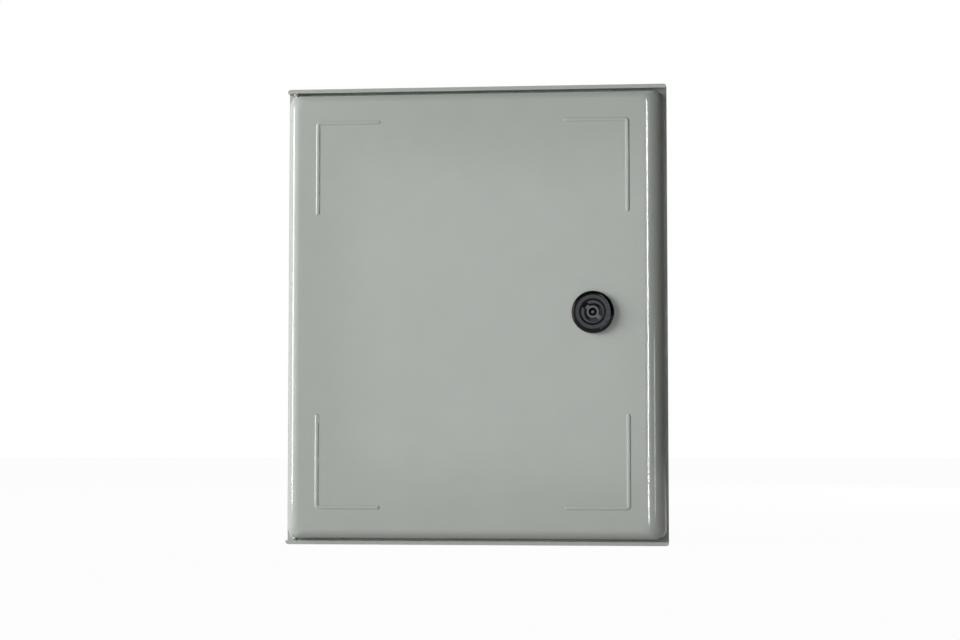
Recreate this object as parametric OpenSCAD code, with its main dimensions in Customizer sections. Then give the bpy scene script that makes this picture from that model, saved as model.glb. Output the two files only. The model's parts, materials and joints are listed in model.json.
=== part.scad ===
// Wall-fixed roadside utility cabinet, moulded in glass-filled polyester.
// The door hangs on two pivot pins between the body's top and bottom rain lips
// and is held shut by a quarter-turn lock with a double-bit insert.
// Millimetres, +Z up, the front faces -Y, origin under the middle of the cabinet.

/* [Body] */
// Width over the rain lips
cab_w = 400; // [340:1:520]
// Height over the rain lips
cab_h = 480; // [420:1:640]
// Depth of the body from its back wall to its front rim
body_d = 173; // [140:1:260]
// Wall of the body and thickness of the rain lips
body_wall = 4; // [3:0.5:5]
// Radius of the long edges of the body
body_corner_r = 3; // [1:0.5:6]
// Radius of the edges round the back wall
back_edge_r = 12; // [6:1:18]
// How far the rain lips stand in front of the rim
lip_d = 11; // [10:0.5:14]
// Width of the rim from the outer side to the mouth
rim_w = 24; // [22:1:32]
// Height of the collar round the mouth
collar_h = 9; // [7:0.5:11]
// Wall of the collar
collar_t = 3; // [2:0.5:4]
// Radius of the corners of the mouth
mouth_r = 12; // [6:1:20]

/* [Wall fixing] */
// Distance across between the wall holes
fix_x = 356; // [280:1:360]
// Distance up between the wall holes
fix_z = 436; // [340:1:440]
// Diameter of the wall holes
fix_hole_d = 9; // [6:0.5:11]
// Diameter of the pads round the wall holes
fix_pad_d = 24; // [18:1:28]
// How far the pads hold the back wall off the wall
fix_pad_h = 5; // [3:0.5:8]
// Height of the boss round each wall hole inside
fix_boss_h = 3; // [1:0.5:6]

/* [Door] */
// Gap between the door and the lower rain lip
lip_gap = 2; // [1.5:0.1:3]
// Gap between the door and the upper rain lip
top_gap = 3; // [2:0.1:3]
// How far each side of the door stands inside the rain lips' ends
side_inset = 4; // [3:0.5:6]
// Gap between the rim and the back edge of the door
rim_gap = 4; // [3.5:0.1:5]
// Depth of the door from its back edge to its face
door_d = 18; // [17:0.5:22]
// Wall of the door
door_wall = 4; // [3:0.5:4.5]
// Radius of the corners of the door's outline
door_corner_r = 12; // [11.5:0.5:18]
// Radius of the rolled edge round the face
door_edge_r = 11; // [9:0.5:11]
// Distance from the door's sides to the middle of the corner beads
bead_in_x = 32; // [24:0.5:40]
// Distance from the door's top and bottom to the middle of the corner beads
bead_in_z = 31.5; // [24:0.5:40]
// Length of the upright leg of a corner bead
bead_leg_z = 97; // [60:1:120]
// Length of the level leg of a corner bead
bead_leg_x = 66; // [40:1:90]
// Radius of the round back of a bead
bead_r = 2.3; // [1.5:0.1:2.3]
// How far a bead stands out of the face
bead_h = 0.8; // [0.5:0.1:1.2]

/* [Seal] */
// Width of the foam seal
seal_w = 9; // [7:0.5:10]
// Height of the ribs that hold the seal
seal_rib_h = 5; // [3:0.5:7]
// Thickness of the ribs that hold the seal
seal_rib_t = 2; // [1.5:0.5:2.5]

/* [Pivots] */
// Distance of the pivot line from the door's left side
pivot_in = 5; // [4.5:0.1:5.5]
// Distance of the pivot line in front of the rim
pivot_out = 7.5; // [7.4:0.1:8]
// Diameter of the pivot pins
pin_d = 4; // [3:0.5:4.5]
// How deep a pin reaches into the door
pin_depth = 18; // [12:1:30]
// Outside diameter of the pivot bosses in the door
pivot_boss_d = 9; // [8:0.5:10]
// Outside diameter of the thrust washers
thrust_d = 7; // [6:0.5:8]

/* [Lock] */
// Distance of the lock from the door's right side
lock_in = 73; // [66:0.5:85]
// Height of the lock above the middle of the cabinet
lock_up = 1; // [-40:1:40]
// Diameter of the lock's bezel at its foot
bezel_d = 44; // [40:1:50]
// Height of the bezel
bezel_h = 7; // [6:0.5:9]
// Radius of the bezel's round shoulder
bezel_brow = 4.5; // [2:0.5:5.5]
// Thickness of the rubber washer under the bezel
washer_t = 1; // [0.8:0.1:1.5]
// Diameter of the threaded sleeve
sleeve_d = 22.4; // [20:0.1:26]
// Distance across the sleeve's two flats
sleeve_flat = 20; // [18:0.1:20.5]
// Diameter of the turning disc of the insert
disc_d = 26; // [24:0.5:30]
// Thickness of the turning disc
disc_t = 5; // [4:0.5:5.5]
// How far the disc lies below the face of the bezel
disc_sunk = 0.8; // [0.4:0.1:1.5]
// Diameter of the shaft of the insert
shaft_d = 14; // [12:0.5:16]
// Diameter of the key socket
socket_d = 8.4; // [7:0.1:9]
// Depth of the key socket
socket_depth = 8; // [5:0.5:10]
// Diameter of the pin in the key socket
socket_pin_d = 3; // [2.5:0.1:3.5]
// Diameter of the key hub round the socket
hub_d = 13; // [11:0.5:14]
// Width of the two ears of the key hub
ear_w = 4.2; // [3:0.1:5]
// Angle of the ears, from level
ear_angle = -42; // [-60:1:60]
// Depth of the pocket round the key hub
pocket_depth = 2; // [1:0.1:2.5]
// Radius of the pocket round the key hub
pocket_r = 9.8; // [9:0.1:10.4]
// Room beside an ear in the mouth of the pocket
ear_room = 1.5; // [1:0.1:2]
// How far the pocket lies off the disc's centre, along the ears
pocket_shift = 1.4; // [0.5:0.1:1.6]
// Thickness of the locking cam
cam_t = 3; // [2:0.5:4]
// Width of the locking cam
cam_w = 18; // [15:1:22]
// How far the cam reaches behind the rim when it is turned home
cam_grip = 11; // [6:1:14]
// Side of the square end of the insert
square_a = 8; // [7:0.5:9]
// Across flats of the sleeve nut
nut_af = 27; // [26:0.5:30]
// Thickness of the sleeve nut
nut_t = 5; // [4:0.5:6]

/* [Mounting plate] */
// Distance of the plate's edges from the inside of the body
plate_edge = 36; // [34:1:50]
// Thickness of the plate
plate_t = 2.5; // [1.5:0.5:4]
// Radius of the plate's corners
plate_r = 8; // [2:1:14]
// Distance of the plate's screws from its edges
plate_screw_in = 14; // [12:1:20]
// Height of the posts that carry the plate
post_h = 16; // [12:1:24]
// Diameter of the posts
post_d = 16; // [14:0.5:20]
// Outside diameter of the brass inserts
insert_d = 7; // [6:0.5:8]
// Length of the brass inserts
insert_l = 10; // [8:0.5:11]
// Diameter of the plate screws
plate_screw_d = 5; // [4:0.5:5.5]

/* [Hidden] */
// Running clearance between turning pieces, on the radius
run = 0.05;
// Clearance of seated pieces
seat = 0.1;
// Clearance of screws in plain holes, on the radius
loose = 0.4;
// Overlap that keeps a cut from ending on a face
cut = 1;
$fn = 64;

// The door's outline and where its face lies, measured forward from the rim
door_w = cab_w - 2 * side_inset;
door_h = cab_h - 2 * body_wall - lip_gap - top_gap;
door_z = body_wall + lip_gap + door_h / 2;
face_s = rim_gap + door_d;
inner_s = face_s - door_wall;
mid_z = cab_h / 2;

// The bezel's face is the foremost point and the wall pads are the rearmost
bezel_s = face_s + washer_t + bezel_h;
y_rim = bezel_s - (bezel_s + body_d + fix_pad_h) / 2;

// Mouth of the body, and the loop that the seal follows on the collar
mouth_w = cab_w - 2 * rim_w;
mouth_h = cab_h - 2 * rim_w;
loop_w = mouth_w + collar_t;
loop_h = mouth_h + collar_t;
loop_r = mouth_r + collar_t / 2;

// Pivot line, at the left seen from the front
pivot_x = -door_w / 2 + pivot_in;
pivot_bore_r = pin_d / 2 + run;

// Lock, its cam behind the rim, and the pieces that hold the cam
lock_x = door_w / 2 - lock_in;
lock_z = mid_z + lock_up;
cam_gap = 0.5;
cam_s = -body_wall - cam_gap;
cam_reach = mouth_w / 2 - lock_x + cam_grip;
cam_screw_d = 6;
cam_screw_grip = 9;
cam_washer_d = 16;
cam_washer_t = 1.4;
hex_af = 10;
hex_t = 4;
disc_front_s = bezel_s - disc_sunk;
bore_chamfer = 0.8;
washer_inset = 1;

// Mounting plate and the posts behind it
back_s = -body_d + body_wall;
inside_corner_r = 1;
plate_w = cab_w - 2 * (body_wall + plate_edge);
plate_h = cab_h - 2 * (body_wall + plate_edge);
post_x = plate_w / 2 - plate_screw_in;
post_z = plate_h / 2 - plate_screw_in;
plate_s = back_s + post_h;
plate_washer_d = 12;
plate_washer_t = 1.2;
pan_d = 9.5;
pan_h = 3.2;
slot_w = 1.2;
slot_h = 1.4;

grp_grey = [0.64, 0.66, 0.63];
lock_black = [0.06, 0.06, 0.07];
steel = [0.72, 0.73, 0.75];
foam_black = [0.15, 0.15, 0.15];
nylon = [0.56, 0.54, 0.54];
brass = [0.78, 0.62, 0.30];

// Draws children with x across, y up and z forward from the rim
module at_rim(s = 0) {
  translate([0, y_rim, 0]) rotate([90, 0, 0]) translate([0, 0, s]) children();
}

// The same, with the origin on the lock's axis
module at_lock(s = 0) {
  translate([lock_x, y_rim, lock_z]) rotate([90, 0, 0]) translate([0, 0, s]) children();
}

// Repeats children at the four corners of a rectangle round the cabinet's middle
module at_corners(x, z) {
  for (sx = [-1, 1], sz = [-1, 1])
    translate([sx * x, mid_z + sz * z, 0]) children();
}

// Rectangle with round corners
module round_rect(w, h, r) {
  square([w - 2 * r, h], center = true);
  square([w, h - 2 * r], center = true);
  for (sx = [-1, 1], sy = [-1, 1])
    translate([sx * (w / 2 - r), sy * (h / 2 - r)]) circle(r);
}

// Loop of rectangular section along a rounded rectangle
module loop(w, h, r, t, height) {
  linear_extrude(height)
    difference() {
      round_rect(w + t, h + t, r + t / 2);
      round_rect(w - t, h - t, r - t / 2);
    }
}

// Bar section with its two front corners rounded, drawn across and forward
module rolled_section(w, d, r) {
  translate([-w / 2, 0]) square([w, d - r]);
  translate([-w / 2 + r, d - r]) square([w - 2 * r, r]);
  for (sx = [-1, 1])
    intersection() {
      translate([sx * (w / 2 - r), d - r]) circle(r);
      translate([sx * (w / 2 - r / 2) - r / 2, d - r]) square(r);
    }
}

// Block with round corners whose front edge is rolled over all round
module rolled_block(w, h, d, corner_r, edge_r) {
  translate([0, h / 2 - corner_r, 0]) rotate([90, 0, 0])
    linear_extrude(h - 2 * corner_r) rolled_section(w, d, edge_r);
  for (sy = [-1, 1])
    translate([0, sy * (h / 2 - corner_r), 0])
      rolled_end(w, d, corner_r, edge_r, sy);
}

// Top or bottom strip of a rolled block, with its two corners revolved
module rolled_end(w, d, corner_r, edge_r, side) {
  translate([-w / 2 + corner_r, 0, 0]) rotate([90, 0, 90])
    linear_extrude(w - 2 * corner_r) flip_if(side < 0) rolled_half(corner_r, d, edge_r);
  for (sx = [-1, 1])
    translate([sx * (w / 2 - corner_r), 0, 0])
      rotate([0, 0, quarter_start(sx, side)])
        rotate_extrude(angle = 90) rolled_half(corner_r, d, edge_r);
}

// Mirrors a section across its upright axis where that is asked for
module flip_if(flipped) {
  mirror([flipped ? 1 : 0, 0]) children();
}

// Where the quarter turn of a corner begins
function quarter_start(sx, sy) = sx > 0 ? (sy > 0 ? 0 : 270) : (sy > 0 ? 90 : 180);

// Half section from an axis out to the side, with a rolled front edge
module rolled_half(w, d, r) {
  square([w, d - r]);
  translate([0, d - r]) square([w - r, r]);
  intersection() {
    translate([w - r, d - r]) circle(r);
    translate([w - r, d - r]) square(r);
  }
}

// Box between the back wall's plane and the rim, with its back edges rounded
module back_rounded(w, h, d, corner_r, edge_r) {
  intersection() {
    linear_extrude(d) round_rect(w, h, corner_r);
    translate([0, h / 2, d]) rotate([90, 0, 0])
      linear_extrude(h) mirror([0, 1]) rolled_section(w, d, edge_r);
    translate([-w / 2, 0, d]) rotate([90, 0, 90])
      linear_extrude(w) mirror([0, 1]) rolled_section(h, d, edge_r);
  }
}

// Moulded body with rain lips, rim, collar, wall bosses and plate posts
module body() {
  color(grp_grey) at_rim()
    difference() {
      union() {
        body_shell();
        rain_lips();
        translate([0, mid_z, 0]) loop(loop_w, loop_h, loop_r, collar_t, collar_h);
        wall_bosses();
        plate_posts();
      }
      at_corners(fix_x / 2, fix_z / 2)
        translate([0, 0, -body_d - fix_pad_h - cut])
          cylinder(d = fix_hole_d, h = fix_pad_h + body_wall + fix_boss_h + 2 * cut);
      for (z = [-cut, cab_h - body_wall - cut])
        translate([pivot_x, z, pivot_out]) rotate([-90, 0, 0])
          cylinder(r = pivot_bore_r, h = body_wall + 2 * cut);
    }
}

// Back and side walls with the rim turned in round the mouth
module body_shell() {
  inside_r = back_edge_r - body_wall;
  translate([0, mid_z, -body_d])
    difference() {
      back_rounded(cab_w, cab_h, body_d, body_corner_r, back_edge_r);
      translate([0, 0, body_wall])
        back_rounded(cab_w - 2 * body_wall, cab_h - 2 * body_wall, body_d - 2 * body_wall,
          inside_corner_r, inside_r);
      translate([0, 0, body_d - body_wall - cut])
        linear_extrude(body_wall + 2 * cut) round_rect(mouth_w, mouth_h, mouth_r);
    }
}

// Lips that carry the top and bottom walls forward over the door's edges
module rain_lips() {
  intersection() {
    translate([0, mid_z, -cut]) linear_extrude(lip_d + cut) round_rect(cab_w, cab_h, body_corner_r);
    for (z = [0, cab_h - body_wall])
      translate([-cab_w / 2, z, -cut]) cube([cab_w, body_wall, lip_d + cut]);
  }
}

// Bosses inside and pads outside round the wall holes
module wall_bosses() {
  at_corners(fix_x / 2, fix_z / 2) {
    translate([0, 0, -body_d - fix_pad_h]) cylinder(d = fix_pad_d, h = fix_pad_h + body_wall / 2);
    translate([0, 0, back_s - body_wall / 2]) cylinder(d = fix_pad_d, h = fix_boss_h + body_wall / 2);
  }
}

// Posts for the mounting plate, each with a blind hole for its insert
module plate_posts() {
  at_corners(post_x, post_z)
    difference() {
      translate([0, 0, back_s - body_wall / 2]) cylinder(d = post_d, h = post_h + body_wall / 2);
      translate([0, 0, plate_s - insert_l]) cylinder(r = insert_d / 2 + run, h = insert_l + cut);
    }
}

// Moulded door: a shallow tray with a rolled edge, beads, seal ribs and pivot bosses
module door() {
  color(grp_grey) at_rim(rim_gap)
    difference() {
      union() {
        translate([0, door_z, 0]) {
          door_tray();
          pivot_bosses();
        }
        translate([0, mid_z, 0]) {
          door_beads();
          for (side = [-1, 1])
            seal_rib(side);
        }
      }
      for (z = [body_wall + lip_gap - cut, cab_h - body_wall - top_gap - pin_depth])
        translate([pivot_x, z, pivot_out - rim_gap]) rotate([-90, 0, 0])
          cylinder(r = pivot_bore_r, h = pin_depth + cut);
      translate([lock_x, lock_z, door_d - door_wall - cut])
        linear_extrude(door_wall + 2 * cut) flatted_circle(sleeve_d / 2 + seat, sleeve_flat + 2 * seat);
    }
}

// Face and rolled sides of the door
module door_tray() {
  w = door_w - 2 * door_wall;
  h = door_h - 2 * door_wall;
  difference() {
    rolled_block(door_w, door_h, door_d, door_corner_r, door_edge_r);
    translate([0, 0, -cut])
      rolled_block(w, h, door_d - door_wall + cut, door_corner_r - door_wall, door_edge_r - door_wall);
  }
}

// Raised L-shaped beads, one in each corner of the face
module door_beads() {
  sunk = door_d - bead_r + bead_h;
  half = sqrt(pow(bead_r, 2) - pow(bead_r - bead_h, 2));
  for (sx = [-1, 1], sy = [-1, 1])
    translate([sx * (door_w / 2 - bead_in_x), sy * (door_h / 2 - bead_in_z), sunk]) {
      translate([0, sy * half, 0]) rotate([sy * 90, 0, 0]) cylinder(r = bead_r, h = bead_leg_z + half);
      translate([sx * half, 0, 0]) rotate([0, -sx * 90, 0]) cylinder(r = bead_r, h = bead_leg_x + half);
    }
}

// One of the two ribs beside the seal
module seal_rib(side) {
  grow = side * (seal_w + seal_rib_t);
  top = door_d - door_wall;
  translate([0, 0, top - seal_rib_h])
    loop(loop_w + grow, loop_h + grow, loop_r + grow / 2, seal_rib_t, seal_rib_h + door_wall / 2);
}

// Bosses behind the door's top and bottom edges that take the pins, flush with its back edge
module pivot_bosses() {
  out = pivot_out - rim_gap;
  reach = pivot_boss_d / 2;
  for (side = [-1, 1])
    translate([pivot_x, side * (door_h / 2 - door_wall / 2), 0]) rotate([side * 90, 0, 0])
      intersection() {
        translate([0, side * out, 0]) cylinder(r = reach, h = pin_depth);
        translate([-reach, side > 0 ? 0 : -2 * out - reach, 0])
          cube([2 * reach, 2 * out + reach, pin_depth]);
      }
}

// Circle cut by two upright flats
module flatted_circle(r, flat) {
  intersection() {
    circle(r);
    square([flat, 3 * r], center = true);
  }
}

// Foam seal between the ribs, pressed by the collar
module door_seal() {
  color(foam_black) at_rim(collar_h + seat) translate([0, mid_z, 0])
    loop(loop_w, loop_h, loop_r, seal_w - 2 * seat, inner_s - collar_h - seat);
}

// Pin from a rain lip across the gap into the door
module pivot_pin(z, gap) {
  color(steel) at_rim() translate([pivot_x, z, pivot_out]) rotate([-90, 0, 0])
    cylinder(d = pin_d, h = body_wall + gap + pin_depth - seat);
}

module pivot_pin_upper() {
  pivot_pin(cab_h - body_wall - top_gap - pin_depth + seat, top_gap);
}

module pivot_pin_lower() {
  pivot_pin(0, lip_gap);
}

// Nylon washer that fills the gap between the door's edge and a lip
module thrust_washer(z, gap) {
  color(nylon) at_rim() translate([pivot_x, z, pivot_out]) rotate([-90, 0, 0])
    difference() {
      cylinder(d = thrust_d, h = gap - seat);
      translate([0, 0, -cut]) cylinder(r = pin_d / 2 + run, h = gap + 2 * cut);
    }
}

module thrust_washer_upper() {
  thrust_washer(cab_h - body_wall - top_gap, top_gap);
}

module thrust_washer_lower() {
  thrust_washer(body_wall + seat, lip_gap);
}

// Rubber washer under the bezel
module lock_washer() {
  color(foam_black) at_lock(face_s)
    difference() {
      cylinder(d = bezel_d - 2 * washer_inset, h = washer_t);
      translate([0, 0, -cut]) cylinder(r = sleeve_d / 2 + seat, h = washer_t + 2 * cut);
    }
}

// Bezel and threaded sleeve, bored for the insert
module lock_housing() {
  sleeve_l = face_s + washer_t - cam_s - seat;
  bed_s = disc_front_s - disc_t - seat;
  color(lock_black) at_lock()
    difference() {
      union() {
        translate([0, 0, face_s + washer_t]) rotate_extrude() rolled_half(bezel_d / 2, bezel_h, bezel_brow);
        translate([0, 0, cam_s + seat])
          linear_extrude(sleeve_l + washer_t) flatted_circle(sleeve_d / 2, sleeve_flat);
      }
      translate([0, 0, bed_s]) cylinder(r = disc_d / 2 + run, h = disc_t + disc_sunk + cut);
      translate([0, 0, bezel_s - bore_chamfer])
        cylinder(r1 = disc_d / 2 + run, r2 = disc_d / 2 + run + 2 * bore_chamfer, h = 2 * bore_chamfer);
      translate([0, 0, cam_s - cut]) cylinder(r = shaft_d / 2 + run, h = sleeve_l + bezel_h);
    }
}

// Hexagon nut behind the door
module lock_nut() {
  color(lock_black) at_lock(inner_s - nut_t)
    difference() {
      cylinder(d = nut_af / cos(30), h = nut_t, $fn = 6);
      translate([0, 0, -cut]) cylinder(r = sleeve_d / 2 + run, h = nut_t + 2 * cut);
    }
}

// Turning insert: disc with a key hub in an eccentric pocket, shaft and square end
module lock_insert() {
  shaft_top = disc_front_s - disc_t;
  color(lock_black) at_lock()
    difference() {
      union() {
        translate([0, 0, shaft_top]) cylinder(d = disc_d, h = disc_t);
        translate([0, 0, cam_s]) cylinder(d = shaft_d, h = shaft_top - cam_s);
        translate([0, 0, cam_s - cam_t + seat])
          linear_extrude(cam_t) square(square_a, center = true);
      }
      translate([0, 0, disc_front_s]) rotate([0, 0, ear_angle]) key_cuts();
      translate([0, 0, cam_s - cam_t])
        cylinder(r = cam_screw_d / 2 + run, h = cam_t + cam_screw_grip + cut);
    }
}

// Cuts in the face of the insert, with the ears of the hub along x
module key_cuts() {
  difference() {
    translate([0, 0, -socket_depth]) cylinder(d = socket_d, h = socket_depth + cut);
    translate([0, 0, -socket_depth - cut]) cylinder(d = socket_pin_d, h = socket_depth);
  }
  translate([0, 0, -pocket_depth]) linear_extrude(pocket_depth + cut) key_pocket();
}

// Pocket with a mouth at one end, round the hub and its two ears
module key_pocket() {
  mouth = ear_w + 2 * ear_room;
  difference() {
    union() {
      translate([pocket_shift, 0]) circle(pocket_r);
      translate([-disc_d / 2 + cut, -mouth / 2]) square([disc_d / 2, mouth]);
    }
    circle(d = hub_d);
    translate([-hub_d / 2 - ear_w / 2, -ear_w / 2]) square([disc_d, ear_w]);
  }
}

// Steel cam on the square end, pointing up when the lock is open
module lock_cam() {
  color(steel) at_lock(cam_s - cam_t)
    difference() {
      linear_extrude(cam_t)
        union() {
          circle(d = cam_w);
          translate([-cam_w / 2, 0]) square([cam_w, cam_reach]);
        }
      translate([0, 0, -cut])
        linear_extrude(cam_t + 2 * cut) square(square_a + 2 * seat, center = true);
    }
}

// Plain washer between the cam and its screw
module cam_washer() {
  color(steel) at_lock(cam_s - cam_t - cam_washer_t)
    difference() {
      cylinder(d = cam_washer_d, h = cam_washer_t);
      translate([0, 0, -cut]) cylinder(r = cam_screw_d / 2 + loose, h = cam_washer_t + 2 * cut);
    }
}

// Hexagon screw into the end of the insert
module cam_screw() {
  color(steel) at_lock(cam_s - cam_t - cam_washer_t) {
    translate([0, 0, -hex_t]) cylinder(d = hex_af / cos(30), h = hex_t, $fn = 6);
    cylinder(d = cam_screw_d, h = cam_washer_t + cam_t + cam_screw_grip);
  }
}

// Steel plate on the posts
module mounting_plate() {
  color(steel) at_rim(plate_s)
    difference() {
      translate([0, mid_z, 0]) linear_extrude(plate_t) round_rect(plate_w, plate_h, plate_r);
      at_corners(post_x, post_z)
        translate([0, 0, -cut]) cylinder(r = plate_screw_d / 2 + loose, h = plate_t + 2 * cut);
    }
}

// Brass inserts in the posts
module plate_inserts() {
  color(brass) at_rim(plate_s - insert_l) at_corners(post_x, post_z)
    difference() {
      cylinder(d = insert_d, h = insert_l);
      translate([0, 0, -cut]) cylinder(r = plate_screw_d / 2 + run, h = insert_l + 2 * cut);
    }
}

// Pan-head screws through the plate
module plate_screws() {
  color(steel) at_rim(plate_s + plate_t + plate_washer_t) at_corners(post_x, post_z)
    difference() {
      union() {
        cylinder(d = pan_d, h = pan_h);
        translate([0, 0, -plate_washer_t - plate_t - insert_l + cut])
          cylinder(d = plate_screw_d, h = plate_washer_t + plate_t + insert_l - cut);
      }
      translate([-pan_d / 2, -slot_w / 2, pan_h - slot_h]) cube([pan_d, slot_w, slot_h + cut]);
    }
}

// Washers under the plate screws
module plate_washers() {
  color(steel) at_rim(plate_s + plate_t) at_corners(post_x, post_z)
    difference() {
      cylinder(d = plate_washer_d, h = plate_washer_t);
      translate([0, 0, -cut]) cylinder(r = plate_screw_d / 2 + loose, h = plate_washer_t + 2 * cut);
    }
}

body();
door();
door_seal();
pivot_pin_upper();
pivot_pin_lower();
thrust_washer_upper();
thrust_washer_lower();
lock_washer();
lock_housing();
lock_nut();
lock_insert();
lock_cam();
cam_washer();
cam_screw();
mounting_plate();
plate_inserts();
plate_screws();
plate_washers();
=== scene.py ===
import json
import math

import bmesh
import bpy
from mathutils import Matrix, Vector

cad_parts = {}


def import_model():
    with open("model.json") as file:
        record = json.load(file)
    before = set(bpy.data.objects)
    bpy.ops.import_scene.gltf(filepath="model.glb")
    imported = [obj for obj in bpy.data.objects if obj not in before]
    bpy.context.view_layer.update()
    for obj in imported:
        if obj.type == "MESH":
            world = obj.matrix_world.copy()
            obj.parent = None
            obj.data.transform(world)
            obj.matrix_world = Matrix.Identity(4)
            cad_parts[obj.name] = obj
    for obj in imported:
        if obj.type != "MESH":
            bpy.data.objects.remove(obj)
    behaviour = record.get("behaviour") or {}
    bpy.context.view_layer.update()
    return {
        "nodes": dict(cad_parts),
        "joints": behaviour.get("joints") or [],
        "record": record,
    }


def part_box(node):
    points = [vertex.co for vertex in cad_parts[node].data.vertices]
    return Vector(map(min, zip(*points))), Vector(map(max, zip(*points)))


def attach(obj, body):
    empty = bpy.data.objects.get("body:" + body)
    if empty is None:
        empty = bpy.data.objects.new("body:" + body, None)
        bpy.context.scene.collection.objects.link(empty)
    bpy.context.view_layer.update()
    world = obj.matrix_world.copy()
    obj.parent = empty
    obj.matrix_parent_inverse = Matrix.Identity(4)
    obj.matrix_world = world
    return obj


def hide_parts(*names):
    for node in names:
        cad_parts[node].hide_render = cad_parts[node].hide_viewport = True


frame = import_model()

scene = bpy.context.scene
MM = 0.001
PIVOT = frame["joints"][0]["pos_m"]
LOCK = frame["joints"][1]["pos_m"]
LOCK_XZ = (LOCK[0], LOCK[2])


# Node helpers

# Strength and depth in metres of the fine grain on small pieces
GRAIN_STRENGTH = 0.2
GRAIN_DEEP = 0.00003


class Shader:
    """A material with its principled shader and short calls for the nodes round it."""

    def __init__(self, name):
        self.material = bpy.data.materials.new(name)
        self.material.use_nodes = True
        self.nodes = self.material.node_tree.nodes
        self.links = self.material.node_tree.links
        self.bsdf = self.nodes["Principled BSDF"]
        self.coords = self.nodes.new("ShaderNodeTexCoord").outputs["Object"]

    def set(self, **values):
        for name, value in values.items():
            self.bsdf.inputs[name].default_value = value

    def link(self, output, socket):
        self.links.new(output, socket)

    def stretched(self, scale):
        node = self.nodes.new("ShaderNodeMapping")
        node.inputs["Scale"].default_value = scale
        self.link(self.coords, node.inputs["Vector"])
        return node.outputs["Vector"]

    def noise(self, scale, detail=2.0, roughness=0.5, vector=None):
        node = self.nodes.new("ShaderNodeTexNoise")
        node.inputs["Scale"].default_value = scale
        node.inputs["Detail"].default_value = detail
        node.inputs["Roughness"].default_value = roughness
        self.link(vector or self.coords, node.inputs["Vector"])
        return node.outputs["Fac"]

    def cells(self, scale):
        node = self.nodes.new("ShaderNodeTexVoronoi")
        node.inputs["Scale"].default_value = scale
        self.link(self.coords, node.inputs["Vector"])
        return node

    def deeper(self, plane, start, end):
        """Runs from 0 to 1 where the surface lies between two depths behind a plane that faces -Y."""
        node = self.nodes.new("ShaderNodeSeparateXYZ")
        self.link(self.coords, node.inputs[0])
        return self.remap(node.outputs["Y"], 0.0, 1.0, plane + start, plane + end)

    def from_lock(self):
        """Offset from the lock's middle in the plane of the door."""
        shift = self.nodes.new("ShaderNodeVectorMath")
        shift.operation = "SUBTRACT"
        shift.inputs[1].default_value = (LOCK[0], 0.0, LOCK[2])
        self.link(self.coords, shift.inputs[0])
        flat = self.nodes.new("ShaderNodeVectorMath")
        flat.operation = "MULTIPLY"
        flat.inputs[1].default_value = (1.0, 0.0, 1.0)
        self.link(shift.outputs["Vector"], flat.inputs[0])
        return flat.outputs["Vector"]

    def length(self, vector):
        node = self.nodes.new("ShaderNodeVectorMath")
        node.operation = "LENGTH"
        self.link(vector, node.inputs[0])
        return node.outputs["Value"]

    def along(self, vector, direction):
        node = self.nodes.new("ShaderNodeVectorMath")
        node.operation = "DOT_PRODUCT"
        node.inputs[1].default_value = direction
        self.link(vector, node.inputs[0])
        return node.outputs["Value"]

    def math(self, operation, *values):
        node = self.nodes.new("ShaderNodeMath")
        node.operation = operation
        for value, socket in zip(values, node.inputs):
            self.link(value, socket)
        return node.outputs["Value"]

    def ramp(self, factor, stops):
        node = self.nodes.new("ShaderNodeValToRGB")
        points = node.color_ramp.elements
        for point, (place, colour) in zip(points, stops):
            point.position = place
            point.color = (*colour, 1.0)
        self.link(factor, node.inputs["Fac"])
        return node.outputs["Color"]

    def remap(self, value, low, high, start=0.3, end=0.7):
        node = self.nodes.new("ShaderNodeMapRange")
        node.inputs["From Min"].default_value = start
        node.inputs["From Max"].default_value = end
        node.inputs["To Min"].default_value = low
        node.inputs["To Max"].default_value = high
        self.link(value, node.inputs["Value"])
        return node.outputs["Result"]

    def mix(self, first, second, factor, blend="MIX"):
        node = self.nodes.new("ShaderNodeMix")
        node.data_type = "RGBA"
        node.blend_type = blend
        sockets = (node.inputs[0], node.inputs[6], node.inputs[7])
        for value, socket in zip((factor, first, second), sockets):
            if isinstance(value, bpy.types.NodeSocket):
                self.link(value, socket)
            else:
                socket.default_value = value
        return node.outputs[2]

    def bump(self, height, strength, distance, before=None):
        node = self.nodes.new("ShaderNodeBump")
        node.inputs["Strength"].default_value = strength
        node.inputs["Distance"].default_value = distance
        self.link(height, node.inputs["Height"])
        if before is not None:
            self.link(before, node.inputs["Normal"])
        return node.outputs["Normal"]

    def grain(self, scale):
        return self.bump(self.noise(scale), GRAIN_STRENGTH, GRAIN_DEEP)

    def finish(self, colour, roughness, normal):
        self.link(colour, self.bsdf.inputs["Base Color"])
        self.link(roughness, self.bsdf.inputs["Roughness"])
        self.link(normal, self.bsdf.inputs["Normal"])
        return self.material


# Materials

DISC_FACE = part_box("lock_insert")[0].y
EAR_TURN = math.radians(-42.0)
EAR_ACROSS = (-math.sin(EAR_TURN), 0.0, math.cos(EAR_TURN))
EAR_ALONG = (math.cos(EAR_TURN), 0.0, math.sin(EAR_TURN))
# Near-black painted on the lock as shade in its hollows and as dark reflection on the bezel's shoulder
PAINTED_SHADE_BLACK = (0.002, 0.002, 0.0025, 1.0)


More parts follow.
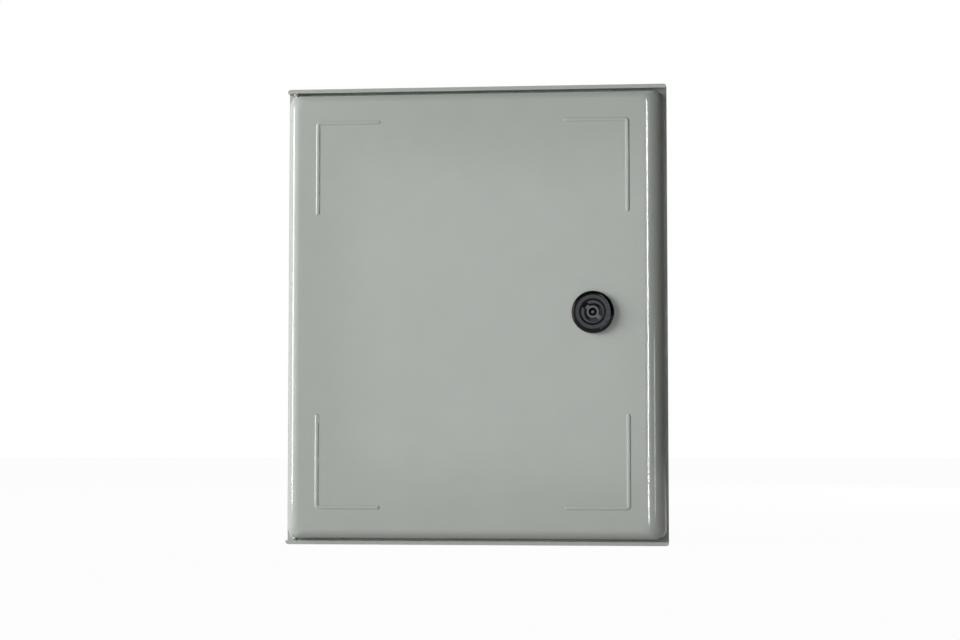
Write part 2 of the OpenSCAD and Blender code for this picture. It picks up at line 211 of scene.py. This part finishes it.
def polyester():
    """Grey moulding: faint clouds, a few dark specks and a slightly wavy gloss."""
    s = Shader("polyester_grey")
    s.set(IOR=1.5)
    broad = s.ramp(s.noise(3.0), [(0.32, (0.350, 0.378, 0.352)), (0.68, (0.368, 0.395, 0.368))])
    cloud = s.ramp(s.noise(30.0, 4.0, 0.6), [(0.3, (0.985, 0.985, 0.982)), (0.7, (1.012, 1.012, 1.012))])
    tinted = s.mix(broad, cloud, 1.0, "MULTIPLY")
    specks = s.ramp(s.noise(480.0, 1.0), [(0.765, (1.0, 1.0, 1.0)), (0.81, (0.66, 0.66, 0.64))])
    colour = s.mix(tinted, specks, 1.0, "MULTIPLY")
    roughness = s.remap(s.noise(22.0, 4.0), 0.09, 0.15)
    wave = s.bump(s.noise(9.0, 1.0), 0.3, 0.0008)
    peel = s.bump(s.noise(340.0, 1.0), 0.06, 0.00006, wave)
    return s.finish(colour, roughness, peel)


def lock_black():
    s = Shader("lock_black_satin")
    s.set(IOR=1.46)
    colour = s.ramp(s.noise(160.0, 3.0), [(0.3, (0.005, 0.005, 0.006)), (0.7, (0.009, 0.009, 0.011))])
    roughness = s.remap(s.noise(420.0, 3.0), 0.24, 0.36)
    return s.finish(colour, roughness, s.grain(2600.0))


def bezel_finish():
    """Black moulding: satin ring in front, with painted dark reflection over the shoulder and painted
    shade down into the bore.
    """
    s = Shader("bezel_black")
    s.set(IOR=1.25)
    satin = s.ramp(s.noise(700.0, 3.0), [(0.3, (0.036, 0.036, 0.046)), (0.7, (0.050, 0.050, 0.062))])
    # Painted by radius: the shoulder's black stands in for dark reflections, the bore's for shade
    radius = s.length(s.from_lock())
    shoulder = s.remap(radius, 0.0, 1.0, 17.2 * MM, 17.9 * MM)
    bore = s.remap(radius, 0.0, 1.0, 14.1 * MM, 13.8 * MM)
    painted_shade = s.math("MAXIMUM", shoulder, bore)
    colour = s.mix(satin, PAINTED_SHADE_BLACK, painted_shade)
    rough = s.remap(shoulder, 0.34, 0.16, 0.0, 1.0)
    return s.finish(colour, rough, s.grain(2600.0))


def insert_finish():
    """Black moulding: satin disc with painted shade in the groove at its rim and in the hollows, fading
    towards the side the light falls on, and a key hub painted lighter for wear and as a highlight.
    """
    s = Shader("insert_black")
    s.set(IOR=1.25)
    satin = s.ramp(s.noise(700.0, 3.0), [(0.3, (0.044, 0.051, 0.052)), (0.7, (0.060, 0.069, 0.070))])
    # Lighter key hub and ears: wear together with a painted highlight where glints catch the light
    worn_and_highlight = s.ramp(s.noise(900.0, 3.0), [(0.3, (0.085, 0.088, 0.104)), (0.7, (0.125, 0.128, 0.145))])
    offset = s.from_lock()
    radius = s.length(offset)
    across = s.math("ABSOLUTE", s.along(offset, EAR_ACROSS))
    ear_side = s.remap(across, 1.0, 0.0, 2.1 * MM, 2.4 * MM)
    ear_end = s.remap(radius, 1.0, 0.0, 9.8 * MM, 10.1 * MM)
    ears = s.math("MINIMUM", ear_side, ear_end)
    hub = s.math("MAXIMUM", ears, s.remap(radius, 1.0, 0.0, 6.1 * MM, 6.4 * MM))
    # Painted shade in the pocket: full at the notch and in the socket, fading towards the lower right
    # where light falls
    shade_fading_to_lit_side = s.remap(s.along(offset, EAR_ALONG), 1.0, 0.45, 0.5 * MM, 4.5 * MM)
    socket = s.remap(radius, 1.0, 0.0, 4.3 * MM, 4.8 * MM)
    painted_shade_share = s.math("MAXIMUM", shade_fading_to_lit_side, socket)
    painted_hollow_shade = s.math("MULTIPLY", s.deeper(DISC_FACE, 0.4 * MM, 0.9 * MM), painted_shade_share)
    # Painted shade in the groove round the disc
    painted_rim_shade = s.remap(radius, 0.0, 1.0, 11.6 * MM, 11.9 * MM)
    beyond_pin = s.remap(radius, 0.0, 1.0, 2.0 * MM, 2.3 * MM)
    # All the painted shade together, kept off the pin
    painted_shade = s.math("MINIMUM", s.math("MAXIMUM", painted_hollow_shade, painted_rim_shade), beyond_pin)
    colour = s.mix(s.mix(satin, worn_and_highlight, hub), PAINTED_SHADE_BLACK, painted_shade)
    rough = s.remap(painted_shade, 0.36, 0.8, 0.0, 1.0)
    return s.finish(colour, rough, s.grain(2600.0))


def foam():
    s = Shader("foam_black")
    cell = s.cells(900.0).outputs["Distance"]
    colour = s.ramp(cell, [(0.1, (0.016, 0.016, 0.016)), (0.7, (0.04, 0.04, 0.041))])
    roughness = s.remap(s.noise(200.0), 0.75, 0.95)
    return s.finish(colour, roughness, s.bump(cell, 0.5, 0.0003))


def zinc_steel():
    """Zinc-plated sheet: flakes of slightly different grey, faint stains and drawn lines."""
    s = Shader("steel_zinc")
    s.set(Metallic=1.0)
    flake = s.cells(130.0).outputs["Color"]
    tint = s.ramp(flake, [(0.1, (0.52, 0.53, 0.55)), (0.9, (0.64, 0.65, 0.66))])
    stain = s.ramp(s.noise(9.0, 4.0), [(0.35, (0.93, 0.93, 0.92)), (0.65, (1.0, 1.0, 1.0))])
    colour = s.mix(tint, stain, 1.0, "MULTIPLY")
    roughness = s.remap(s.noise(60.0, 5.0), 0.28, 0.46)
    drawn = s.bump(s.noise(90.0, 3.0, 0.6, s.stretched((22.0, 22.0, 1.0))), 0.12, 0.00004)
    return s.finish(colour, roughness, drawn)


def nylon():
    s = Shader("nylon_grey")
    colour = s.ramp(s.noise(120.0), [(0.3, (0.24, 0.225, 0.225)), (0.7, (0.30, 0.285, 0.285))])
    roughness = s.remap(s.noise(300.0), 0.36, 0.5)
    return s.finish(colour, roughness, s.grain(1500.0))


def turned_brass():
    s = Shader("brass_turned")
    s.set(Metallic=1.0)
    colour = s.ramp(s.noise(180.0, 3.0), [(0.3, (0.60, 0.43, 0.16)), (0.7, (0.74, 0.56, 0.25))])
    roughness = s.remap(s.noise(400.0), 0.24, 0.38)
    return s.finish(colour, roughness, s.grain(2200.0))


FINISHES = {
    "polyester": polyester(),
    "lock_black": lock_black(),
    "foam": foam(),
    "steel": zinc_steel(),
    "nylon": nylon(),
    "brass": turned_brass(),
}
for part in frame["record"]["subparts"]:
    for slot in frame["nodes"][part["node"]].material_slots:
        slot.material = FINISHES[part["material_slot"]]


# Lock: finishes of its own and softened edges on its solids

WELD_REACH = 0.00001
SOFT_ANGLE = math.radians(32.0)
SOFT_SEGMENTS = 2
HOUSING_SOFT = 0.25 * MM
INSERT_SOFT = 0.3 * MM


def soften(node, width):
    """Rounds the crisp edges of a solid a little."""
    made = frame["nodes"][node]
    weld = made.modifiers.new("weld", "WELD")
    weld.merge_threshold = WELD_REACH
    bevel = made.modifiers.new("bevel", "BEVEL")
    bevel.width = width
    bevel.segments = SOFT_SEGMENTS
    bevel.limit_method = "ANGLE"
    bevel.angle_limit = SOFT_ANGLE
    bevel.harden_normals = True


frame["nodes"]["lock_housing"].material_slots[0].material = bezel_finish()
frame["nodes"]["lock_insert"].material_slots[0].material = insert_finish()
soften("lock_housing", HOUSING_SOFT)
soften("lock_insert", INSERT_SOFT)


# Shapes of the moulded pieces

SHARP_ANGLE = math.radians(38.0)
CORNER_STEPS = 10


class Moulding:
    """Collects rings of points, in metres, and skins them into one mesh that rides on a body."""

    def __init__(self, name, body, slot):
        self.name = name
        self.body = body
        self.slot = slot
        self.bm = bmesh.new()

    def ring(self, points, y):
        return [self.bm.verts.new((x, y, z)) for x, z in points]

    def strip(self, first, second):
        count = len(first)
        for i in range(count):
            j = (i + 1) % count
            self.bm.faces.new((first[i], first[j], second[j], second[i]))

    def skin(self, rings):
        for first, second in zip(rings, rings[1:]):
            self.strip(first, second)

    def cap(self, ring):
        self.bm.faces.new(ring)

    def fill(self, *rings):
        """Fills the flat area between an outer ring and the holes in it."""
        edges = []
        for ring in rings:
            for a, b in zip(ring, ring[1:] + ring[:1]):
                edges.append(self.bm.edges.get((a, b)) or self.bm.edges.new((a, b)))
        bmesh.ops.triangle_fill(self.bm, use_beauty=True, edges=edges)

    def finish(self, *nodes):
        bmesh.ops.recalc_face_normals(self.bm, faces=self.bm.faces)
        mesh = bpy.data.meshes.new(self.name)
        self.bm.to_mesh(mesh)
        self.bm.free()
        mesh.materials.append(FINISHES[self.slot])
        mesh.shade_smooth()
        mesh.set_sharp_from_angle(angle=SHARP_ANGLE)
        made = bpy.data.objects.new(self.name, mesh)
        scene.collection.objects.link(made)
        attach(made, self.body)
        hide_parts(*nodes)
        return made


def rounded(left, right, bottom, top, radius, steps=CORNER_STEPS):
    """Points round a rectangle with round corners, seen from the front."""
    middles = (
        (right - radius, top - radius),
        (left + radius, top - radius),
        (left + radius, bottom + radius),
        (right - radius, bottom + radius),
    )
    points = []
    for quarter, (x, z) in enumerate(middles):
        for step in range(steps + 1):
            angle = 0.5 * math.pi * (quarter + step / steps)
            points.append((x + radius * math.cos(angle), z + radius * math.sin(angle)))
    return points


def grown(middle, half, reach, radius, steps=CORNER_STEPS):
    """The same round a middle, with the outline moved out by a reach."""
    x = half[0] + reach
    z = half[1] + reach
    return rounded(middle[0] - x, middle[0] + x, middle[1] - z, middle[1] + z, radius + reach, steps)


def circle(middle, radius, steps):
    turns = [2.0 * math.pi * step / steps for step in range(steps)]
    return [(middle[0] + radius * math.cos(a), middle[1] + radius * math.sin(a)) for a in turns]


# Door: height and back from its solid, sides, roll and bead places as read from the photo

DOOR_LO, DOOR_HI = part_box("door")
DOOR_BACK = DOOR_HI.y
DOOR_HALF = 197.5 * MM
DOOR_DEPTH = 18 * MM
DOOR_WALL = 4 * MM
FACE_Y = DOOR_BACK - DOOR_DEPTH
FACE_BACK = FACE_Y + DOOR_WALL
ROLL_LEFT = 13 * MM
ROLL_RIGHT = 20.5 * MM
ROLL_BOTTOM = 10.5 * MM
ROLL_TOP = 9.5 * MM
ROLL_DEEP = 13 * MM
ROLL_STEPS = 14
CORNER_R = 11 * MM
FACE_CORNER_R = 8 * MM
FACE_BORDER = 1 * MM
SLEEVE_R = 11.3 * MM
SLEEVE_SIDES = 48
BEAD_LEFT = -165.3 * MM
BEAD_RIGHT = 159.2 * MM
BEAD_TOP = 442 * MM
BEAD_BOTTOM = 39 * MM
BEAD_LEG_Z = 97 * MM
BEAD_LEG_X = 66 * MM
BEAD_HALF = 2.4 * MM
BEAD_FLANK = 1.5 * MM
BEAD_HIGH = 0.75 * MM
BEAD_BEND = 2.5 * MM
BEAD_BEND_STEPS = 8
BEAD_HALF_STEPS = 7
# How far a bead's edges and its underside lie below the face
BEAD_EDGE = 0.04 * MM
BEAD_SUNK = 0.6 * MM
# Distance from a bead's tip in millimetres, and share of the full section there
BEAD_TIP = ((0.0, 0.0), (0.25, 0.5), (0.8, 0.8), (1.6, 0.96), (2.6, 1.0))
BEAD_TIP_WIDTH = 0.05
BOSS_R = 4.5 * MM
BOSS_SIDES = 32
BOSS_SET_IN = 2 * MM
BOSS_LONG = 18 * MM


def roll_rings(part, inset, depth, corner, face_corner):
    """Rings from the back edge of the door, up its side and over its rolled edge."""
    deep = ROLL_DEEP - inset

    def ring(share, y, past=0.0):
        points = rounded(
            -DOOR_HALF + inset + share * (ROLL_LEFT - inset) + past,
            DOOR_HALF - inset - share * (ROLL_RIGHT - inset) - past,
            DOOR_LO.z + inset + share * (ROLL_BOTTOM - inset) + past,
            DOOR_HI.z - inset - share * (ROLL_TOP - inset) - past,
            corner + share * (face_corner - corner),
        )
        return part.ring(points, y)

    rings = [ring(0.0, DOOR_BACK), ring(0.0, DOOR_BACK - 0.5 * (depth - deep))]
    for step in range(ROLL_STEPS + 1):
        angle = 0.5 * math.pi * step / ROLL_STEPS
        rings.append(ring(1.0 - math.cos(angle), DOOR_BACK - depth + deep * (1.0 - math.sin(angle))))
    rings.append(ring(1.0, DOOR_BACK - depth, FACE_BORDER))
    return rings


def bead_height(offset):
    """Height over the face at an offset from the bead's middle line, with smooth flanks."""
    share = max(0.0, min(1.0, (BEAD_HALF - abs(offset)) / BEAD_FLANK))
    return BEAD_HIGH * share * share * (3.0 - 2.0 * share)


def bead_stations(corner_x, corner_z, sx, sz):
    """Middle line of an L-shaped bead: place, sideways direction and share of the full section."""
    tip = [(run * MM, share) for run, share in BEAD_TIP]
    stations = []
    for run, share in tip + [(BEAD_LEG_Z - BEAD_BEND, 1.0)]:
        stations.append((corner_x, corner_z - sz * (BEAD_LEG_Z - run), (sx, 0.0), share))
    for step in range(1, BEAD_BEND_STEPS):
        angle = 0.5 * math.pi * step / BEAD_BEND_STEPS
        out = (sx * math.cos(angle), sz * math.sin(angle))
        x = corner_x + BEAD_BEND * (out[0] - sx)
        z = corner_z + BEAD_BEND * (out[1] - sz)
        stations.append((x, z, out, 1.0))
    for run, share in [(BEAD_LEG_X - BEAD_BEND, 1.0)] + tip[::-1]:
        stations.append((corner_x - sx * (BEAD_LEG_X - run), corner_z, (0.0, sz), share))
    return stations


def bead(part, corner_x, corner_z, sx, sz):
    """Raised L-shaped bead with a rounded back and a flat underside sunk into the face."""
    steps = range(-BEAD_HALF_STEPS, BEAD_HALF_STEPS + 1)
    offsets = [BEAD_HALF * step / BEAD_HALF_STEPS for step in steps]
    rings = []
    for x, z, side, share in bead_stations(corner_x, corner_z, sx, sz):
        width = max(share, BEAD_TIP_WIDTH)
        section = [(offset, FACE_Y - bead_height(offset) * share + BEAD_EDGE) for offset in offsets]
        section += [(offset, FACE_Y + BEAD_SUNK) for offset in (BEAD_HALF, -BEAD_HALF)]
        ring = []
        for offset, y in section:
            place = (x + side[0] * offset * width, y, z + side[1] * offset * width)
            ring.append(part.bm.verts.new(place))
        rings.append(ring)
    part.skin(rings)
    part.cap(rings[0])
    part.cap(rings[-1])


def loop_bar(part, middle, half, radius, thick, y_from, y_to):
    """Bar of rectangular section that runs round a rectangle with round corners."""
    rings = []
    for grow, y in ((-1, y_from), (1, y_from), (1, y_to), (-1, y_to)):
        rings.append(part.ring(grown(middle, half, grow * thick / 2, radius), y))
    part.skin(rings + rings[:1])


def pivot_boss(part, end, inward):
    """Boss behind the door's edge that takes a pivot pin, flat where it meets the back edge."""
    outline = [(x, min(y, DOOR_BACK)) for x, y in circle(PIVOT, BOSS_R, BOSS_SIDES)]
    rings = []
    for depth in (BOSS_SET_IN, BOSS_SET_IN + BOSS_LONG):
        z = end + inward * depth
        rings.append([part.bm.verts.new((x, y, z)) for x, y in outline])
    part.skin(rings)
    part.cap(rings[0])
    part.cap(rings[1])


# Seal and the two ribs that hold it

SEAL_LO, SEAL_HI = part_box("door_seal")
SEAL_MID = ((SEAL_LO.x + SEAL_HI.x) / 2, (SEAL_LO.z + SEAL_HI.z) / 2)
SEAL_W = 8.8 * MM
SEAL_HALF = ((SEAL_HI.x - SEAL_LO.x - SEAL_W) / 2, (SEAL_HI.z - SEAL_LO.z - SEAL_W) / 2)
SEAL_R = 13.5 * MM
# Shares of the seal's height below its dome and in it
SEAL_STRAIGHT = 0.45
SEAL_DOME = 0.55
SEAL_STEPS = 12
SEAL_CORNER_STEPS = 16
CHANNEL_W = 9 * MM
RIB_T = 2 * MM
RIB_H = 5 * MM
RIB_SUNK = 1 * MM


def door():
    part = Moulding("door_moulding", "door", "polyester")
    outer = roll_rings(part, 0.0, DOOR_DEPTH, CORNER_R, FACE_CORNER_R)
    inner_depth = DOOR_DEPTH - DOOR_WALL
    inner = roll_rings(part, DOOR_WALL, inner_depth, CORNER_R - DOOR_WALL, FACE_CORNER_R - DOOR_WALL / 2)
    part.skin(outer)
    part.skin(inner)
    part.strip(outer[0], inner[0])
    hole = circle(LOCK_XZ, SLEEVE_R, SLEEVE_SIDES)
    hole_front = part.ring(hole, FACE_Y)
    hole_back = part.ring(hole, FACE_BACK)
    part.strip(hole_front, hole_back)
    part.fill(outer[-1], hole_front)
    part.fill(inner[-1], hole_back)
    for x, sx in ((BEAD_LEFT, -1), (BEAD_RIGHT, 1)):
        bead(part, x, BEAD_TOP, sx, 1)
        bead(part, x, BEAD_BOTTOM, sx, -1)
    for side in (-1, 1):
        grow = side * (CHANNEL_W + RIB_T) / 2
        half = (SEAL_HALF[0] + grow, SEAL_HALF[1] + grow)
        loop_bar(part, SEAL_MID, half, SEAL_R + grow, RIB_T, FACE_BACK - RIB_SUNK, FACE_BACK + RIB_H)
    pivot_boss(part, DOOR_HI.z, -1)
    pivot_boss(part, DOOR_LO.z, 1)
    part.finish("door")


def seal():
    """Foamed seal: a poured bead with a domed back."""
    part = Moulding("foam_seal", "door", "foam")
    high = SEAL_HI.y - SEAL_LO.y
    section = []
    for step in range(SEAL_STEPS + 1):
        angle = math.pi * step / SEAL_STEPS
        y = SEAL_LO.y + high * (SEAL_STRAIGHT + SEAL_DOME * math.sin(angle))
        section.append((-0.5 * SEAL_W * math.cos(angle), y))
    section += [(0.5 * SEAL_W, SEAL_LO.y), (-0.5 * SEAL_W, SEAL_LO.y)]
    rings = []
    for reach, y in section:
        rings.append(part.ring(grown(SEAL_MID, SEAL_HALF, reach, SEAL_R, SEAL_CORNER_STEPS), y))
    part.skin(rings + rings[:1])
    made = part.finish("door_seal")


door()
seal()


# Floor and light

FLOOR_SIZE = 14.0
FLOOR_Z = -0.0005
FLOOR_COLOUR = (0.48, 0.45, 0.43, 1.0)
FLOOR_WHITE_SHARE = 0.97
AMBIENT_COLOUR = (0.95, 0.98, 1.0, 1.0)
# Direction of the shady side, and the ambient strength away from it and towards it
SHADY_SIDE = (0.92, 0.0, 0.38)
SHADY_START = -0.7
SHADY_END = 0.15
AMBIENT_HIGH = 0.95
AMBIENT_LOW = 0.04
CARD_COLOUR = (0.02, 0.02, 0.02, 1.0)
WHITE = (1.0, 1.0, 1.0)
WARM_WHITE = (1.0, 0.99, 0.96)
COOL_WHITE = (0.96, 0.98, 1.0)


def seen_rays(nodes, links):
    """Is 1 for rays from the camera, off glossy surfaces and through clear ones."""
    path = nodes.new("ShaderNodeLightPath")
    seen = path.outputs["Is Camera Ray"]
    for kind in ("Is Glossy Ray", "Is Transmission Ray"):
        either = nodes.new("ShaderNodeMath")
        either.operation = "MAXIMUM"
        links.new(seen, either.inputs[0])
        links.new(path.outputs[kind], either.inputs[1])
        seen = either.outputs[0]
    return seen


def floor():
    """Matt floor that is nearly white where it is seen and keeps a faint shadow."""
    bpy.ops.mesh.primitive_plane_add(size=FLOOR_SIZE, location=(0.0, 0.0, FLOOR_Z))
    plane = bpy.context.object
    plane.name = "floor"
    material = bpy.data.materials.new("floor_pale")
    material.use_nodes = True
    nodes = material.node_tree.nodes
    links = material.node_tree.links
    nodes.clear()
    matt = nodes.new("ShaderNodeBsdfDiffuse")
    matt.inputs["Color"].default_value = FLOOR_COLOUR
    white = nodes.new("ShaderNodeEmission")
    share = nodes.new("ShaderNodeMath")
    share.operation = "MULTIPLY"
    share.inputs[1].default_value = FLOOR_WHITE_SHARE
    mix = nodes.new("ShaderNodeMixShader")
    end = nodes.new("ShaderNodeOutputMaterial")
    links.new(seen_rays(nodes, links), share.inputs[0])
    links.new(share.outputs[0], mix.inputs[0])
    links.new(matt.outputs[0], mix.inputs[1])
    links.new(white.outputs[0], mix.inputs[2])
    links.new(mix.outputs[0], end.inputs["Surface"])
    plane.data.materials.append(material)


def world():
    """White where it is seen, and a soft ambient light that is weaker from one side."""
    made = bpy.data.worlds.new("studio")
    scene.world = made
    made.use_nodes = True
    nodes = made.node_tree.nodes
    links = made.node_tree.links
    nodes.clear()
    soft = nodes.new("ShaderNodeBackground")
    soft.inputs["Color"].default_value = AMBIENT_COLOUR
    coords = nodes.new("ShaderNodeTexCoord")
    shady = nodes.new("ShaderNodeVectorMath")
    shady.operation = "DOT_PRODUCT"
    shady.inputs[1].default_value = SHADY_SIDE
    level = nodes.new("ShaderNodeMapRange")
    level.inputs["From Min"].default_value = SHADY_START
    level.inputs["From Max"].default_value = SHADY_END
    level.inputs["To Min"].default_value = AMBIENT_HIGH
    level.inputs["To Max"].default_value = AMBIENT_LOW
    links.new(coords.outputs["Generated"], shady.inputs[0])
    links.new(shady.outputs["Value"], level.inputs["Value"])
    links.new(level.outputs["Result"], soft.inputs["Strength"])
    white = nodes.new("ShaderNodeBackground")
    white.inputs["Color"].default_value = (*WHITE, 1.0)
    white.inputs["Strength"].default_value = 1.0
    mix = nodes.new("ShaderNodeMixShader")
    end = nodes.new("ShaderNodeOutputWorld")
    links.new(seen_rays(nodes, links), mix.inputs[0])
    links.new(soft.outputs[0], mix.inputs[1])
    links.new(white.outputs[0], mix.inputs[2])
    links.new(mix.outputs[0], end.inputs["Surface"])


def lamp(name, place, target, size, watts, colour=WHITE, diffuse=True, glossy=True):
    """Rectangular lamp that faces a target and may be hidden from matt or glossy surfaces."""
    data = bpy.data.lights.new(name, "AREA")
    data.shape = "RECTANGLE"
    data.size, data.size_y = size
    data.energy = watts
    data.color = colour
    made = bpy.data.objects.new(name, data)
    scene.collection.objects.link(made)
    made.location = place
    made.rotation_euler = (Vector(target) - Vector(place)).to_track_quat("-Z", "Y").to_euler()
    made.visible_diffuse = diffuse
    made.visible_glossy = glossy


def flag(name, place, size, facing):
    """Dark card that only reflections see."""
    bpy.ops.mesh.primitive_plane_add(size=1.0)
    card = bpy.context.object
    card.name = name
    card.scale = (*size, 1.0)
    card.location = place
    card.rotation_euler = Vector(facing).to_track_quat("Z", "Y").to_euler()
    card.visible_camera = False
    card.visible_diffuse = False
    card.visible_shadow = False
    material = bpy.data.materials.new(name)
    material.use_nodes = True
    shader = material.node_tree.nodes["Principled BSDF"]
    shader.inputs["Base Color"].default_value = CARD_COLOUR
    shader.inputs["Roughness"].default_value = 1.0
    card.data.materials.append(material)


MIDDLE = (0.0, -0.09, 0.24)
LEFT_EDGE = (-0.19, -0.09, 0.24)
RIGHT_EDGE = (0.18, -0.09, 0.24)
floor()
world()

# Lamps that light the cabinet
lamp("key_left", (-4.2, -2.7, 1.25), MIDDLE, (3.2, 3.2), 365.0, glossy=False)
lamp("fill_front", (-0.23, -3.2, 0.375), MIDDLE, (0.81, 0.95), 3.5)
lamp("soft_back", (1.2, 1.8, 0.8), MIDDLE, (1.0, 1.0), 40.0, glossy=False)

# Lamps that only make the highlights on the door's edges
lamp("window_left", (-0.576, -0.192, 0.285), LEFT_EDGE, (0.10, 0.55), 2.2, WARM_WHITE, diffuse=False)
lamp("strip_right", (0.2405, -0.486, 0.285), RIGHT_EDGE, (0.012, 0.56), 1.4, COOL_WHITE, diffuse=False)
lamp("strip_far_right", (0.406, -0.419, 0.125), RIGHT_EDGE, (0.0156, 0.24), 0.15, diffuse=False)

# Cards that darken the reflections at the right and the top
flag("flag_right", (1.9, -0.2, 0.9), (8.4, 3.0), (-1.0, 0.0, 0.0))
flag("flag_front_right", (1.05, -3.4, 0.6), (1.7, 2.4), (0.0, 1.0, 0.0))
flag("flag_top", (0.0, -1.5, 2.6), (6.0, 5.0), (0.0, 0.0, -1.0))
flag("flag_behind_right", (1.2, 0.9, 0.6), (1.9, 2.4), (0.0, -1.0, 0.0))


# Camera

CAMERA_PLACE = (0.1957, -2.0979, 0.1161)
CAMERA_UP = math.radians(3.34)
CAMERA_LEFT = math.radians(5.42)
LENS_MM = 72.7
SENSOR_MM = 36.0

camera_data = bpy.data.cameras.new("camera")
camera_data.sensor_width = SENSOR_MM
camera_data.lens = LENS_MM
camera = bpy.data.objects.new("camera", camera_data)
scene.collection.objects.link(camera)
camera.location = CAMERA_PLACE
camera.rotation_euler = (math.radians(90.0) + CAMERA_UP, 0.0, CAMERA_LEFT)
scene.camera = camera
scene.view_settings.view_transform = "Standard"
